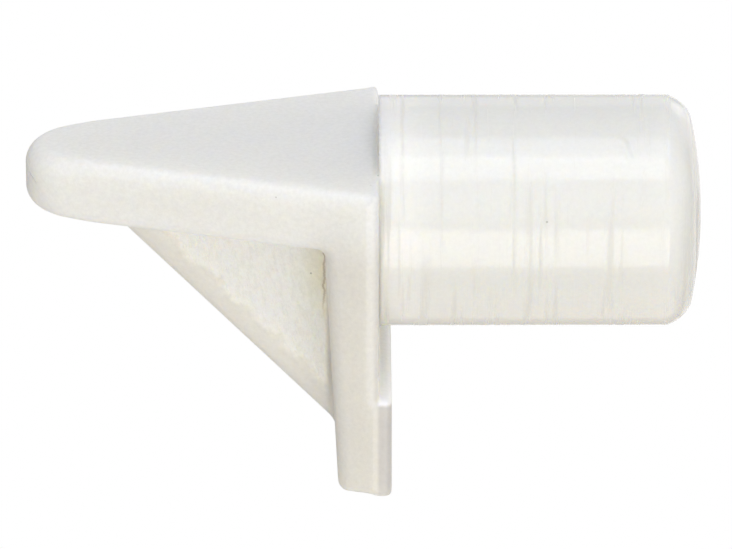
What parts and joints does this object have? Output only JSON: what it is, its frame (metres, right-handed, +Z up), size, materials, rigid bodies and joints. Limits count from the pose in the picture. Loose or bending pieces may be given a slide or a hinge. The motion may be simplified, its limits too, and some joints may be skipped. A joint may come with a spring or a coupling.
{
  "type": "shelf support pin",
  "caption": "Moulded plastic shelf support: a round pin for a cabinet's side, a back plate, a tapered arm that carries the shelf, and a triangular web under the arm.",
  "frame": {"origin": "on the pin's axis, where it leaves the plate's back face", "axes": "+X along the pin towards its free end, +Z up, so the shelf rests on the arm's +Z face; the arm reaches out along -X and the part is symmetric across Y"},
  "size_m": [0.0184, 0.0076, 0.0101],
  "materials": {
    "plastic": "satin, slightly translucent off-white"
  },
  "bodies": {
    "root": {"support_pin": "plastic"}
  },
  "joints": []
}
